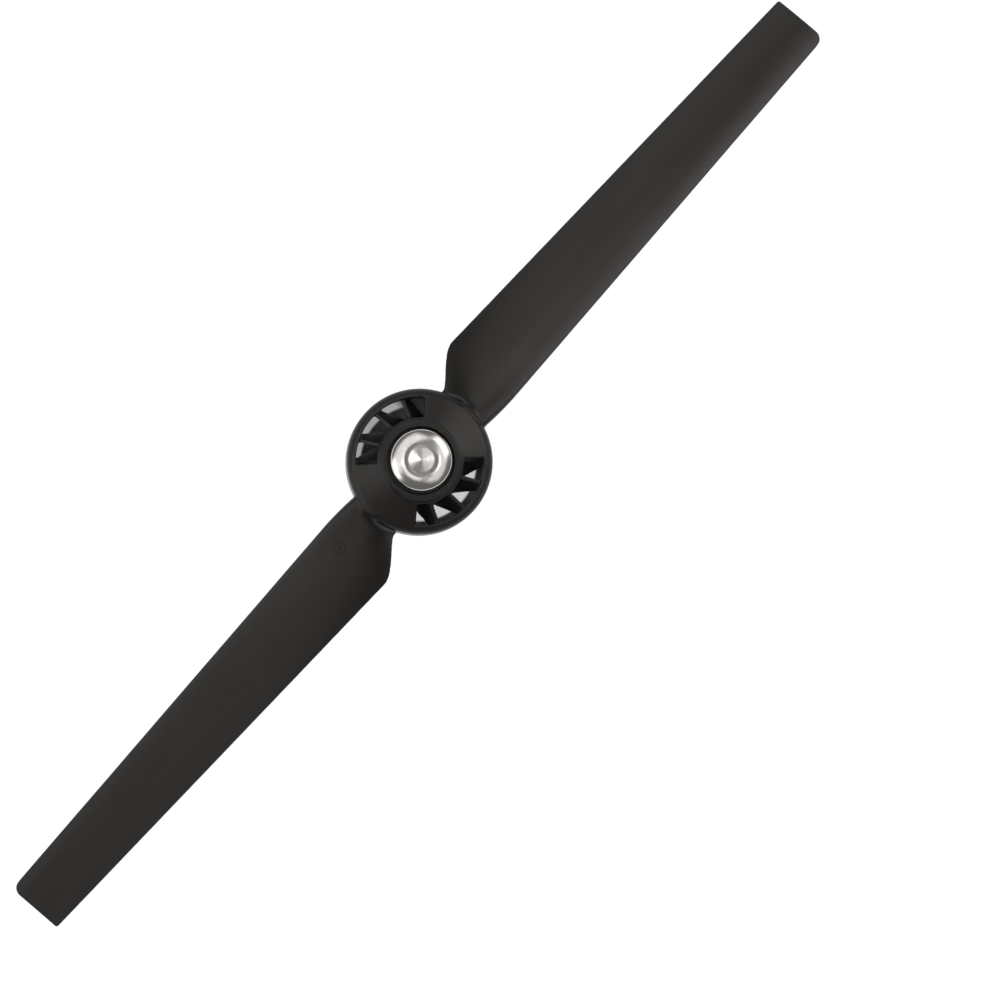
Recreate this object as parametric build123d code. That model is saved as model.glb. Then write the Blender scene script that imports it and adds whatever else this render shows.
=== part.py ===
from build123d import *
import os
from math import cos, exp, pi, radians, sin, tan

os.makedirs("parts", exist_ok=True)

# A two-bladed push-on-and-spin multirotor propeller, 13 inches across, that turns clockwise
# seen from above. The nylon moulding (skirt, cone, nut boss, vanes, ribs and both blades) is
# one piece on the real propeller. Its elements are separate solids here and meet face to
# face. The domed nut is moulded into the boss and the rubber spacer ring is loose under it.
#
# Frame: the origin is the centre of the hub rim's lower face, +Z is the spin axis and points
# up in the direction of thrust, and blade 1 lies along +X with its leading edge at -Y.

# ---- Driving dimensions, in millimetres and degrees ----

# Blades
TIP_R = 165.0  # tip radius, half of 330 mm
LEADING_OFFSET = 8.85  # leading edge to the spanwise axis line, at the tip
LEADING_FLARE = 0.0028  # offset lost for each millimetre inboard of the tip
LEADING_ROOT_DROP = 0.8  # and how much more is lost at the hub
SHOULDER_R = 32.0  # radius where the trailing edge is widest
SHOULDER_OFFSET = 15.1  # trailing edge to the axis line at the shoulder
TRAILING_TAPER = 0.055  # offset lost for each millimetre outboard of the shoulder
ROOT_R = 20.0  # radius where the root is narrowest
ROOT_NECKING = 7.7  # trailing-edge offset lost between shoulder and root
NECK_ROUNDING = 1.3  # exponents of the neck's curve, at the root and at the shoulder
SHOULDER_ROUNDING = 1.7
PITCH_RISE = 24.0  # tangent of the blade angle = PITCH_RISE / (r + PITCH_BLEND)
PITCH_BLEND = 45.0
AXIS_Z = 5.2  # height of the line about which the sections are pitched
TIP_THICKNESS = 1.15
ROOT_EXTRA_THICKNESS = 3.4  # added to TIP_THICKNESS at the root
THICKNESS_FADE = 35.0  # radial distance over which the extra fades by 1/e
CAMBER = 0.035  # height of the mean line over the chord, as a part of the chord
ROOT_CAMBER = 0.045  # added to CAMBER at the root
ROOT_CAMBER_FADE = 6.0  # radial distance over which that fades by 1/e
BULGE = 3.1  # scales the section's thickness curve to a greatest value near 1
BULGE_TAPER = 0.35  # how much that curve is thinned towards the trailing edge
EDGE_THICKNESS = 0.6  # blunt trailing edge
TIP_TRAILING_FILLET = 0.5
TIP_LEADING_FILLET = 2.6
SECTION_COUNT = 32  # spans between the lofted sections, shortest at the root
SECTION_CROWDING = 1.6  # above 1 crowds the sections towards the root
CHORD_STEPS = 7  # spans between the points of each surface of a section
TIP_OVERRUN = 2.0  # how far the loft runs past the tip before it is cut

# Skirt and cone of the hub
RIM_R = 20.5
RIM_TOP_Z = 9.9  # where the cone would meet the rim if the edge were sharp
RIM_EDGE_R = 1.2  # rounding of that edge
RIM_FOOT_CHAMFER = 0.4
SKIRT_FOOT_IN_R = 18.2
SKIRT_TOP_IN_R = 18.0
CONE_TOP_Z = 13.5  # where the cone meets the boss
SHELL_T = 1.7  # height of the cone's wall, measured along Z
VENT_IN_R = 12.2
VENT_HALF_ANGLE = 48.5
VENT_CENTRES = (-95.0, 85.0)

# Nut boss
BOSS_R = 11.0
BOSS_FOOT_R = 10.6
BOSS_FOOT_Z = 5.5
COLLAR_TOP_Z = 15.0
COLLAR_IN_R = 9.4
COLLAR_EDGE_R = 0.5

# Vanes and ribs
WEB_FOOT_Z = 4.5  # lowest level of the vanes and ribs
VANE_T = 1.1
VANE_ANGLES = (50.5, 27.5, 0.0, -27.5, -50.5)  # about the vent's centre
VANE_SWEEP_IN = 22.0  # how far the foot is turned back at the vent's inner radius
VANE_SWEEP_OUT = 7.6  # and at the skirt
VANE_RECESS = 0.9  # vane crests lie this far below the cone's surface
VANE_CREST_IN_R = 8.0  # the crest's line starts inside the boss, which trims it
VANE_RUN_IN = 4.0  # and the foot's line is prolonged by this much into the boss
VANE_RUN_OUT = 2.4  # and into the skirt
VANE_RUN_DOWN = 0.2  # and below WEB_FOOT_Z
RIB_T = 1.2
RIB_ANGLES = (-3.0, -17.0, -31.0)  # about each blade's axis

# Threaded nut
NUT_SEAT_Z = 6.5
NUT_BODY_R = 7.5
NUT_ACROSS_FLATS = 14.0
NUT_GROOVE_R = 6.6
NUT_GROOVE_Z = (8.6, 10.4)
DOME_FOOT_Z = 12.5
DOME_R = 8.6
SHOULDER_START_Z = 17.49  # where the dome's upright wall ends
DOME_SHOULDER = 0.75  # radius of the arc that turns the wall inwards
DOME_TURN = 55.0  # elevation of the surface's normal where the crown's arc takes over
DOME_CROWN = 7.4  # radius of the crown's arc
DOME_END = 84.0  # elevation of the normal where the flat top begins
DIMPLE_R = 3.6
DIMPLE_DEPTH = 0.5
THREAD_R = 3.46  # minor radius of the M8 x 1 left-hand thread
THREAD_TOP_Z = 15.0
THREAD_CHAMFER = 0.5
DRILL_POINT_ANGLE = 59.0  # half of a drill's 118 degrees

# Spacer ring
RING_OUT_R = 6.0
RING_IN_R = 4.1
RING_T = 1.8
RING_EDGE_R = 0.65

# ---- Shared shapes ----

FAR = 60.0  # larger than the hub in every direction
CLOSE = 0.01  # heights that differ by less are the same


def cone_z(r):
    """Height of the hub cone's outer surface at radius r."""
    return CONE_TOP_Z - (r - BOSS_R) * (CONE_TOP_Z - RIM_TOP_Z) / (RIM_R - BOSS_R)


def polar(r, angle, z):
    return Vector(r * cos(radians(angle)), r * sin(radians(angle)), z)


def turned(outline):
    """Solid of revolution about Z of a closed outline drawn in the XZ plane."""
    return revolve(make_face(outline), Axis.Z)


def profile(*points):
    """Closed outline through (r, z) points, in the XZ plane."""
    return Polyline(*[(r, 0, z) for r, z in points], close=True)


def circles_between(solid, low, high):
    """The solid's circular edges whose centres lie between two heights."""
    return [e for e in solid.edges().filter_by(GeomType.CIRCLE) if low < e.center().Z < high]


def arc(centre, radius, start, end):
    """Arc in the XZ plane about centre (r, z), between two angles from the r direction."""
    angles = (start, (start + end) / 2, end)
    r, z = centre
    points = [(r + radius * cos(radians(a)), 0, z + radius * sin(radians(a))) for a in angles]
    return ThreePointArc(*points)


# ---- Blades ----


def trailing_offset(r):
    """Distance of the trailing edge from the axis line: a taper, necked in at the root."""
    inboard = min(max((SHOULDER_R - r) / (SHOULDER_R - ROOT_R), 0), 1)
    taper = SHOULDER_OFFSET - TRAILING_TAPER * (r - SHOULDER_R)
    return taper - ROOT_NECKING * (1 - (1 - inboard) ** NECK_ROUNDING) ** SHOULDER_ROUNDING


def leading_offset(r):
    inboard = min(max((SHOULDER_R - r) / (SHOULDER_R - ROOT_R), 0), 1)
    return LEADING_OFFSET - LEADING_FLARE * (TIP_R - r) - LEADING_ROOT_DROP * inboard**2


def section_heights(r, part_of_chord):
    """Heights of the lower and upper surface at a place along the chord, 0 at the
    leading edge and 1 at the trailing edge, with the y coordinate of that place."""
    lead, trail = leading_offset(r), trailing_offset(r)
    chord = lead + trail
    y = -lead + chord * part_of_chord
    mean = AXIS_Z - y * PITCH_RISE / (r + PITCH_BLEND)
    camber = CAMBER + ROOT_CAMBER * exp((ROOT_R - r) / ROOT_CAMBER_FADE)
    mean += 4 * camber * chord * part_of_chord * (1 - part_of_chord)
    thickest = TIP_THICKNESS + ROOT_EXTRA_THICKNESS * exp(-(r - ROOT_R) / THICKNESS_FADE)
    bulge = BULGE * part_of_chord**0.5 * (1 - part_of_chord) * (1 - BULGE_TAPER * part_of_chord)
    half = thickest * bulge / 2 + EDGE_THICKNESS * part_of_chord / 2
    return y, mean - half, mean + half


def section_wire(r):
    """Closed section of the blade in the plane x = r."""
    places = [1 - cos(step * pi / 2 / CHORD_STEPS) for step in range(CHORD_STEPS + 1)]
    upper = []
    lower = []
    for place in places:
        y, low, high = section_heights(r, place)
        upper.append((r, y, high))
        lower.append((r, y, low))
    return Wire([Spline(*upper), Line(upper[-1], lower[-1]), Spline(*reversed(lower))])


def tip_trimmer():
    """Upright block that the blade is cut to, with the tip's two rounded corners."""
    reach = 2 * SHOULDER_OFFSET
    lead, trail = leading_offset(TIP_R), trailing_offset(TIP_R)
    lead_start = (TIP_R - TIP_LEADING_FILLET, -lead)
    lead_end = (TIP_R, -lead + TIP_LEADING_FILLET)
    trail_start = (TIP_R, trail - TIP_TRAILING_FILLET)
    trail_end = (TIP_R - TIP_TRAILING_FILLET, trail)
    outline = Polyline(
        trail_end, (trail_end[0], reach), (0, reach), (0, -reach), (lead_start[0], -reach), lead_start
    )
    outline += RadiusArc(lead_start, lead_end, -TIP_LEADING_FILLET)
    outline += Line(lead_end, trail_start)
    outline += RadiusArc(trail_start, trail_end, -TIP_TRAILING_FILLET)
    return extrude(make_face(outline), FAR)


def blade():
    """Blade 1, lofted through its sections and cut to the rim and to the tip's outline."""
    spread = [(step / SECTION_COUNT) ** SECTION_CROWDING for step in range(SECTION_COUNT + 1)]
    length = TIP_R + TIP_OVERRUN - SKIRT_TOP_IN_R
    stations = [SKIRT_TOP_IN_R + length * part for part in spread]
    lofted = Solid.make_loft([section_wire(r) for r in stations], ruled=True)
    return (lofted & tip_trimmer()) - Cylinder(RIM_R, 2 * FAR)


# ---- Hub ----


def hub_shell():
    """Skirt and cone in one, with the two vent sectors cut through the cone."""
    shell = turned(
        profile(
            (SKIRT_FOOT_IN_R, 0),
            (RIM_R - RIM_FOOT_CHAMFER, 0),
            (RIM_R, RIM_FOOT_CHAMFER),
            (RIM_R, RIM_TOP_Z),
            (BOSS_R, CONE_TOP_Z),
            (BOSS_R, CONE_TOP_Z - SHELL_T),
            (SKIRT_TOP_IN_R, cone_z(SKIRT_TOP_IN_R) - SHELL_T),
        )
    )
    shell = fillet(circles_between(shell, RIM_TOP_Z - CLOSE, RIM_TOP_Z + CLOSE), RIM_EDGE_R)
    for centre in VENT_CENTRES:
        shell -= vent_sector(centre)
    return shell


def skirt_and_cone(shell):
    """The shell's two elements, parted along the skirt's inner wall."""
    inner = Cylinder(SKIRT_TOP_IN_R, 2 * FAR)
    return shell - inner, shell & inner


def vent_sector(centre):
    """Upright block over one vent: a sector of the ring between boss and skirt."""
    ring = Cylinder(SKIRT_TOP_IN_R, FAR, align=(Align.CENTER, Align.CENTER, Align.MIN))
    ring -= Cylinder(VENT_IN_R, FAR, align=(Align.CENTER, Align.CENTER, Align.MIN))
    wedge = Polyline(
        (0, 0),
        (FAR, -FAR * tan(radians(VENT_HALF_ANGLE))),
        (FAR, FAR * tan(radians(VENT_HALF_ANGLE))),
        close=True,
    )
    wedge = Rot(0, 0, centre) * extrude(make_face(wedge), FAR)
    return Pos(0, 0, WEB_FOOT_Z) * (ring & wedge)


def nut_boss(nut):
    """Central tube that the nut is moulded into, with the collar around its dome."""
    tube = turned(
        profile(
            (NUT_BODY_R, BOSS_FOOT_Z),
            (BOSS_FOOT_R, BOSS_FOOT_Z),
            (BOSS_R, CONE_TOP_Z - SHELL_T),
            (BOSS_R, COLLAR_TOP_Z),
            (COLLAR_IN_R, COLLAR_TOP_Z),
            (COLLAR_IN_R, DOME_FOOT_Z),
            (NUT_GROOVE_R, DOME_FOOT_Z),
            (NUT_GROOVE_R, NUT_SEAT_Z),
            (NUT_BODY_R, NUT_SEAT_Z),
        )
    )
    return fillet(circles_between(tube, COLLAR_TOP_Z - CLOSE, FAR), COLLAR_EDGE_R) - nut


def web_space():
    """Ring-shaped space between boss and skirt that vanes and ribs stand in."""
    return turned(
        profile(
            (BOSS_FOOT_R, BOSS_FOOT_Z),
            (BOSS_FOOT_R, WEB_FOOT_Z),
            (SKIRT_FOOT_IN_R, WEB_FOOT_Z),
            (SKIRT_TOP_IN_R, cone_z(SKIRT_TOP_IN_R) - VANE_RECESS),
            (BOSS_R, cone_z(BOSS_R) - VANE_RECESS),
            (BOSS_R, CONE_TOP_Z - SHELL_T),
        )
    )


def strip(inner, outer, thickness):
    """Flat four-sided wire, thickness wide, along the level or sloping line inner-outer."""
    along = Vector(outer.X - inner.X, outer.Y - inner.Y, 0).normalized()
    side = Vector(-along.Y, along.X, 0) * (thickness / 2)
    return Wire.make_polygon([inner + side, outer + side, outer - side, inner - side], close=True)


def vane(angle, space):
    """Slanted web: a radial crest on the cone and a foot turned back against the spin."""
    crest_in = polar(VANE_CREST_IN_R, angle, cone_z(VANE_CREST_IN_R))
    crest = strip(crest_in, polar(RIM_R, angle, cone_z(RIM_R)), VANE_T)
    foot_z = WEB_FOOT_Z - VANE_RUN_DOWN
    foot_in = polar(VENT_IN_R, angle - VANE_SWEEP_IN, foot_z)
    foot_out = polar(SKIRT_TOP_IN_R, angle - VANE_SWEEP_OUT, foot_z)
    along = (foot_out - foot_in).normalized()
    foot = strip(foot_in - along * VANE_RUN_IN, foot_out + along * VANE_RUN_OUT, VANE_T)
    return Solid.make_loft([foot, crest], ruled=True) & space


def rib(angle, space):
    """Upright radial web under a blade's root."""
    plate = Box(RIM_R, RIB_T, FAR, align=(Align.MIN, Align.CENTER, Align.CENTER))
    return (Rot(0, 0, angle) * plate) & space


# ---- Nut and ring ----


def threaded_nut():
    """Domed nut: six-sided body, round dome with a dimple, and a blind hole."""
    body = extrude(RegularPolygon(NUT_ACROSS_FLATS / 2, 6, major_radius=False), DOME_FOOT_Z - NUT_SEAT_Z)
    body = Pos(0, 0, NUT_SEAT_Z) * body
    body &= Cylinder(NUT_BODY_R, 2 * FAR)
    low, high = NUT_GROOVE_Z
    body -= turned(profile((NUT_GROOVE_R, low), (FAR, low), (FAR, high), (NUT_GROOVE_R, high)))

    turn = radians(DOME_TURN)
    shoulder_centre = (DOME_R - DOME_SHOULDER, SHOULDER_START_Z)
    crown_centre = (
        shoulder_centre[0] - (DOME_CROWN - DOME_SHOULDER) * cos(turn),
        shoulder_centre[1] - (DOME_CROWN - DOME_SHOULDER) * sin(turn),
    )
    crown = arc(crown_centre, DOME_CROWN, DOME_TURN, DOME_END)
    flat = crown @ 1
    outline = Polyline((0, 0, DOME_FOOT_Z), (DOME_R, 0, DOME_FOOT_Z), (DOME_R, 0, SHOULDER_START_Z))
    outline += arc(shoulder_centre, DOME_SHOULDER, 0, DOME_TURN)
    outline += crown
    outline += Polyline(
        flat, (DIMPLE_R, 0, flat.Z), (0, 0, flat.Z - DIMPLE_DEPTH), (0, 0, DOME_FOOT_Z)
    )
    hole = turned(
        profile(
            (0, NUT_SEAT_Z - 1),
            (THREAD_R + THREAD_CHAMFER, NUT_SEAT_Z - 1),
            (THREAD_R + THREAD_CHAMFER, NUT_SEAT_Z),
            (THREAD_R, NUT_SEAT_Z + THREAD_CHAMFER),
            (THREAD_R, THREAD_TOP_Z),
            (0, THREAD_TOP_Z + THREAD_R / tan(radians(DRILL_POINT_ANGLE))),
        )
    )
    return body + turned(outline) - hole


def spacer_ring():
    """Loose rubber ring, seated against the nut's lower face."""
    ring = Cylinder(RING_OUT_R, RING_T) - Cylinder(RING_IN_R, RING_T)
    ring = fillet(ring.edges().filter_by(GeomType.CIRCLE), RING_EDGE_R)
    return Pos(0, 0, NUT_SEAT_Z - RING_T / 2) * ring


# ---- Assembly ----


def assembly():
    """Every node's solid by name."""
    nut = threaded_nut()
    shell = hub_shell()
    space = web_space() - shell
    skirt, cone = skirt_and_cone(shell)
    nodes = {"hub_skirt": skirt, "hub_cone": cone, "nut_boss": nut_boss(nut)}
    for side, centre in enumerate(VENT_CENTRES):
        for number, angle in enumerate(VANE_ANGLES):
            name = f"vane_{side * len(VANE_ANGLES) + number + 1}"
            nodes[name] = vane(centre + angle, space)
        for number, angle in enumerate(RIB_ANGLES):
            name = f"rib_{side * len(RIB_ANGLES) + number + 1}"
            nodes[name] = rib(180.0 * side + angle, space)
        nodes[f"blade_{side + 1}"] = Rot(0, 0, 180.0 * side) * blade()
    nodes["threaded_nut"] = nut
    nodes["spacer_ring"] = spacer_ring()
    return nodes


for node, shape in assembly().items():
    export_step(shape, f"parts/{node}.step")
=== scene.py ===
from math import cos, hypot, pi, radians, sin, tan

import bpy
import numpy as np
from mathutils import Matrix, Vector

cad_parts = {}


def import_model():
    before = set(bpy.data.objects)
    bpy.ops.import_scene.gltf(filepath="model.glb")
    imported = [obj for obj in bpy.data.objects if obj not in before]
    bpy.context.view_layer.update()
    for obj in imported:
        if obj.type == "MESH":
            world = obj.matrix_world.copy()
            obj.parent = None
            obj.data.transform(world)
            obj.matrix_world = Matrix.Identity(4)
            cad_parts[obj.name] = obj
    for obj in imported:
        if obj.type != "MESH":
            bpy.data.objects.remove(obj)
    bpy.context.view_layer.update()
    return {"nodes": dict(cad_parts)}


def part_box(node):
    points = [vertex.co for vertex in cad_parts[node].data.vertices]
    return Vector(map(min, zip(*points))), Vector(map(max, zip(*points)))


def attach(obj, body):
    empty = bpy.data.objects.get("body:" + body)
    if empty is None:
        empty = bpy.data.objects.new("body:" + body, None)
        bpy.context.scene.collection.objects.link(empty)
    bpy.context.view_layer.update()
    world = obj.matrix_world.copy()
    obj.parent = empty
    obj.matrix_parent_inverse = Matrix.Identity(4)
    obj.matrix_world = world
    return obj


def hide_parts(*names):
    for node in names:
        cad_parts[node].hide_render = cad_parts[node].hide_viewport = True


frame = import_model()

# The visual model of a two-bladed propeller. Shapes are worked out in millimetres in the part's
# own frame: origin on the spin axis at the rim's foot, +Z up, blade 1 along +X, whose leading
# edge is at -Y. Meshes are scaled to metres when they are made.
MM = 0.001

# ---- Sizes taken from the frame, in millimetres ----


def corners_mm(node):
    """Low and high corners of a CAD node's box."""
    low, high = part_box(node)
    return low / MM, high / MM


boss_low, boss_high = corners_mm("nut_boss")
blade_low, blade_high = corners_mm("blade_1")
nut_low, nut_high = corners_mm("threaded_nut")
ring_low, ring_high = corners_mm("spacer_ring")

RIM_R = corners_mm("hub_skirt")[1].x
CONE_TOP_Z = corners_mm("hub_cone")[1].z
BOSS_R = boss_high.x
BOSS_FOOT_Z = boss_low.z
COLLAR_TOP_Z = boss_high.z
TIP_R = blade_high.x
SHOULDER_OFFSET = blade_high.y
LEADING_OFFSET = -blade_low.y
NUT_SEAT_Z = nut_low.z
DOME_R = nut_high.x
RING_OUT_R = ring_high.x
WEB_FOOT_Z = corners_mm("rib_1")[0].z

# ---- Sizes that the frame's boxes don't show, as in the CAD or close to it ----

# Blades
LEADING_FLARE = 0.0028  # how far forward the leading edge leans, per mm outwards
LEADING_ROOT_DROP = 0.8
SHOULDER_R = 32.0
TRAILING_TAPER = 0.055  # how far forward the trailing edge leans, per mm outwards
ROOT_R = 20.0
BLADE_START_R = 16.0  # sections further in repeat this one
ROOT_NECKING = 7.7
NECK_ROUNDING = 1.3  # exponents of the neck's curve, at the root and at the shoulder
SHOULDER_ROUNDING = 1.7
PITCH_RISE = 24.0  # a section's slope at radius r is PITCH_RISE / (r + PITCH_BLEND)
PITCH_BLEND = 45.0
AXIS_Z = 5.2
TIP_THICKNESS = 1.25
ROOT_EXTRA_THICKNESS = 3.4
THICKNESS_FADE = 35.0
CAMBER = 0.035
ROOT_CAMBER = 0.045  # added at the root, fading outwards
ROOT_CAMBER_FADE = 6.0
TRAILING_EDGE_R = 0.3
NOSE_SHARE = 0.5  # leading edge's radius over the section's half thickness
THICKEST_PLACE = 0.3  # along the chord
THINNING = 1.6  # exponent of the section's thinning towards the trailing edge
TIP_TRAILING_FILLET = 0.5
TIP_LEADING_FILLET = 2.8
ROOT_BLEND = 0.25  # size of the fillet between blade and hub at the blade's edges
ROOT_BLEND_MIDDLE = 2.6  # and in the middle of its width
ROOT_BLEND_HALF_WIDTH = 7.2
ROOT_CAP_SLOPE = 1.6  # how steeply the blade's inner end dives under the cone
BLADE_IN_SKIRT = 0.6  # from the skirt's inner wall to the blade's inner end

# Hub
RIM_TOP_Z = 9.9
RIM_EDGE_R = 1.3
RIM_ROUNDING = ((0.0, -1.0), (0.2, -0.45), (0.55, -0.05))  # inwards and up, in RIM_EDGE_R
RIM_WIDTH = 1.1  # how far inside RIM_R the cone starts, in RIM_EDGE_R
CONE_INTO_BOSS = 1.0
HUB_REACH = 3.5  # how far outside the rim the hub still shapes the blades
CAVITY_MARGIN = 0.1
SKIRT_FOOT_IN_R = 18.2
SKIRT_TOP_IN_R = 18.0
SHELL_T = 1.7
BOSS_FOOT_R = 10.6
COLLAR_IN_R = 9.4
BOSS_INTO_NUT = 1.5  # how far the boss reaches inwards before the nut's body is cut out
VENT_IN_R = 12.2
VENT_HALF_ANGLE = 48.5
VENT_CENTRE = -95.0
VANE_T = 1.1
VANE_ANGLES = (50.5, 27.5, 0.0, -27.5, -50.5)
VANE_SWEEP_IN = 22.0  # degrees from crest to foot, at the vane's inner and outer end
VANE_SWEEP_OUT = 7.6
VANE_SLANT = 0.92  # a vane's thickness over its thickness measured level
VANE_MIDDLE_R = 15.0
VANE_FALL = (-0.2, 1.1)  # where the sweep starts and ends, from crest 0 to foot 1
VANE_RECESS = 0.9
WEB_OVERLAP = 0.5  # how far vanes and ribs run into the walls that they join
RIB_T = 1.2
RIB_ANGLES = (-3.0, -17.0, -31.0)
EDGE_R = 0.3  # rounding of the moulding's outer edges
JOIN_R = 0.5  # fillets where its walls meet

# Nut
NUT_BODY_R = 7.5
NUT_BODY_EDGE = 0.3
NUT_ACROSS_FLATS = 14.0
NUT_BODY_OVERLAP = 1.0  # how far the body's hollow opens into the recess round the dome
SEAT_OUT_R = 5.5
DOME_FOOT_Z = 12.5
DOME_FOOT_EDGE = 0.2
DOME_SHOULDER = 0.75
DOME_CROWN = 7.4
DOME_TURN = 55.0  # elevation at which the shoulder's arc becomes the crown's
DOME_END = 84.0  # and at which the crown ends in the flat top
SHOULDER_START_Z = 17.49
SHOULDER_FIRST = 2.0  # degrees from the side's end to the first ring of the shoulder's arc
CROWN_FIRST = 1.0  # and from the shoulder's end to the first ring of the crown's
FLAT_RISE = 0.004  # how far the flat top stands over the crown's end
FLAT_EDGE = 0.12  # how far inside the crown's end it starts
DIMPLE_EDGE = 0.05  # and how far outside the dimple it ends
DIMPLE_R = 3.6
DIMPLE_DEPTH = 0.5
THREAD_R = 3.46
THREAD_MAJOR_R = 4.0
THREAD_PITCH = 1.0
THREAD_TOP_Z = 15.0
THREAD_GROOVE = 1.25  # its depth in the middle of the groove, before it is cut off at 1
THREAD_FLANK = 1.5  # and how much less it is midway to the next groove
THREAD_RUN_IN = 0.5  # height over which it grows at the mouth, from this share of its depth
THREAD_RUN_IN_SHARE = 0.2
MOUTH_WIDTH = 0.5  # countersink round the hole's mouth: its width, depth and rounding
MOUTH_DEPTH = 0.4
MOUTH_EDGE = (0.06, 0.04)
DRILL_HALF_ANGLE = 59.0

# Spacer ring
RING_IN_R = 4.1
RING_SQUARENESS = 0.62  # exponent of its section: 1 is an ellipse, 0 a rectangle
FLASH_HEIGHT = 0.04  # of the mould's parting line, at the ring's middle height
FLASH_SINE = 0.05  # of the section's turn, up to which the line reaches

# Painted sheen along the leading edges: a paler colour that stands in for the light on them
SHEEN_SHARE = 0.5  # of the chord
SHEEN_FALL_OFF = 1.3  # exponent of its fading across the chord
SHEEN_AT_SHOULDER = 0.6  # as a part of the full painted sheen
SHEEN_RISE = 20.0  # length over which it would rise from none to full
SHEEN_BLADE_2 = 0.5  # as a part of blade 1's painted sheen
SHEEN_FADE = 1.0  # how much of blade 2's painted sheen is gone at the tip

# Ring and dot on blade 2, as moulds leave
MARK_X, MARK_Y = 33.0, -1.3
MARK_R, MARK_LINE, MARK_HEIGHT = 1.7, 0.3, 0.07
DOT_R, DOT_LINE = 0.3, 0.55
MARK_STEPS = 72
# Section of its line, across and up, in line widths and mark heights
MARK_SECTION = ((-0.5, -0.4), (-0.5, 0.4), (-0.3, 1.0), (0.3, 1.0), (0.5, 0.4), (0.5, -0.4))

# Mesh: cells of the moulding's grid, and where along the blades each size ends
HUB_CELL, HUB_CELLS_END = 0.39, 22.0
ROOT_CELL, ROOT_CELLS_END = 0.6, 36.0
BLADE_CELL, BLADE_CELLS_END = 2.0, TIP_R - 5
TIP_CELL, TIP_CELLS_END = 0.4, TIP_R + 1
HUB_CELL_Z = 0.34
GRID_MARGIN = 0.6
GRID_MARGIN_Z = 0.4
NORMAL_STEP = 0.08
EDGE_REACH = 0.5  # how far round a point its surface is looked at for edges
LATHE_STEPS = 144
THREAD_ROWS = 96
SHOULDER_STEPS = 16
CROWN_STEPS = 24
DIMPLE_STEPS = 16
RING_STEPS = 48
SHARP_ANGLE = 35.0

FAR = 1e9  # a distance where there is nothing, beyond any in the part

# ---- Distance fields: negative inside, positive outside ----


def smooth_min(a, b, size):
    """Union of two distances with a concave fillet of about that size."""
    near = np.maximum(size - np.abs(a - b), 0) / size
    return np.minimum(a, b) - near * near * size / 4


def smooth_max(a, b, size):
    """Intersection of two distances with a rounded edge of about that size."""
    return -smooth_min(-a, -b, size)


def outline_distance(r, z, points):
    """Signed distance in the (r, z) half plane to a closed outline."""
    nearest = np.full(np.broadcast(r, z).shape, FAR)
    inside = np.zeros(nearest.shape, bool)
    for (r0, z0), (r1, z1) in zip(points, points[1:] + points[:1]):
        dr, dz = r1 - r0, z1 - z0
        along = np.clip(((r - r0) * dr + (z - z0) * dz) / (dr * dr + dz * dz), 0, 1)
        nearest = np.minimum(nearest, (r - r0 - along * dr) ** 2 + (z - z0 - along * dz) ** 2)
        if dz:
            inside ^= ((z0 > z) != (z1 > z)) & (r < r0 + dr * (z - z0) / dz)
    return np.where(inside, -1.0, 1.0) * np.sqrt(nearest)


def inset(points, by):
    """The outline, counter-clockwise, with every side moved inwards."""
    lines = []
    for (r0, z0), (r1, z1) in zip(points, points[1:] + points[:1]):
        length = hypot(r1 - r0, z1 - z0)
        normal = ((z0 - z1) / length, (r1 - r0) / length)
        lines.append((normal, normal[0] * r0 + normal[1] * z0 + by))
    moved = []
    for (n0, c0), (n1, c1) in zip(lines[-1:] + lines[:-1], lines):
        cross = n0[0] * n1[1] - n0[1] * n1[0]
        moved.append(((c0 * n1[1] - c1 * n0[1]) / cross, (n0[0] * c1 - n1[0] * c0) / cross))
    return moved


def rounded_outline(r, z, points, edge):
    """Distance to an outline whose outward corners are rounded."""
    return outline_distance(r, z, inset(points, edge)) - edge


def folded(x, y, centre):
    """Turns points half a turn where that brings them nearer the direction centre, in degrees."""
    flip = np.where(x * cos(radians(centre)) + y * sin(radians(centre)) < 0, -1.0, 1.0)
    return x * flip, y * flip


def cone_z(r):
    """Height of the cone's outer surface."""
    return CONE_TOP_Z - (r - BOSS_R) * (CONE_TOP_Z - RIM_TOP_Z) / (RIM_R - BOSS_R)


def inboard_part(r):
    """0 from the shoulder outwards, rising to 1 at the root."""
    return np.clip((SHOULDER_R - r) / (SHOULDER_R - ROOT_R), 0, 1)


def trailing_offset(r):
    """From the blade's axis line to its trailing edge."""
    taper = SHOULDER_OFFSET - TRAILING_TAPER * (r - SHOULDER_R)
    necking = 1 - (1 - inboard_part(r)) ** NECK_ROUNDING
    return taper - ROOT_NECKING * necking**SHOULDER_ROUNDING


def leading_offset(r):
    """From the blade's axis line to its leading edge."""
    flare = LEADING_FLARE * (TIP_R - r)
    return LEADING_OFFSET - flare - LEADING_ROOT_DROP * inboard_part(r) ** 2


def blade_mean_z(r, y):
    """Height of the blade's mean surface, cambered and pitched about the axis line."""
    lead = leading_offset(r)
    chord = lead + trailing_offset(r)
    place = np.clip((y + lead) / chord, 0, 1)
    slope = PITCH_RISE / (r + PITCH_BLEND)
    camber = CAMBER + ROOT_CAMBER * np.exp((ROOT_R - r) / ROOT_CAMBER_FADE)
    return AXIS_Z - y * slope + 4 * camber * chord * place * (1 - place)


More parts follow.
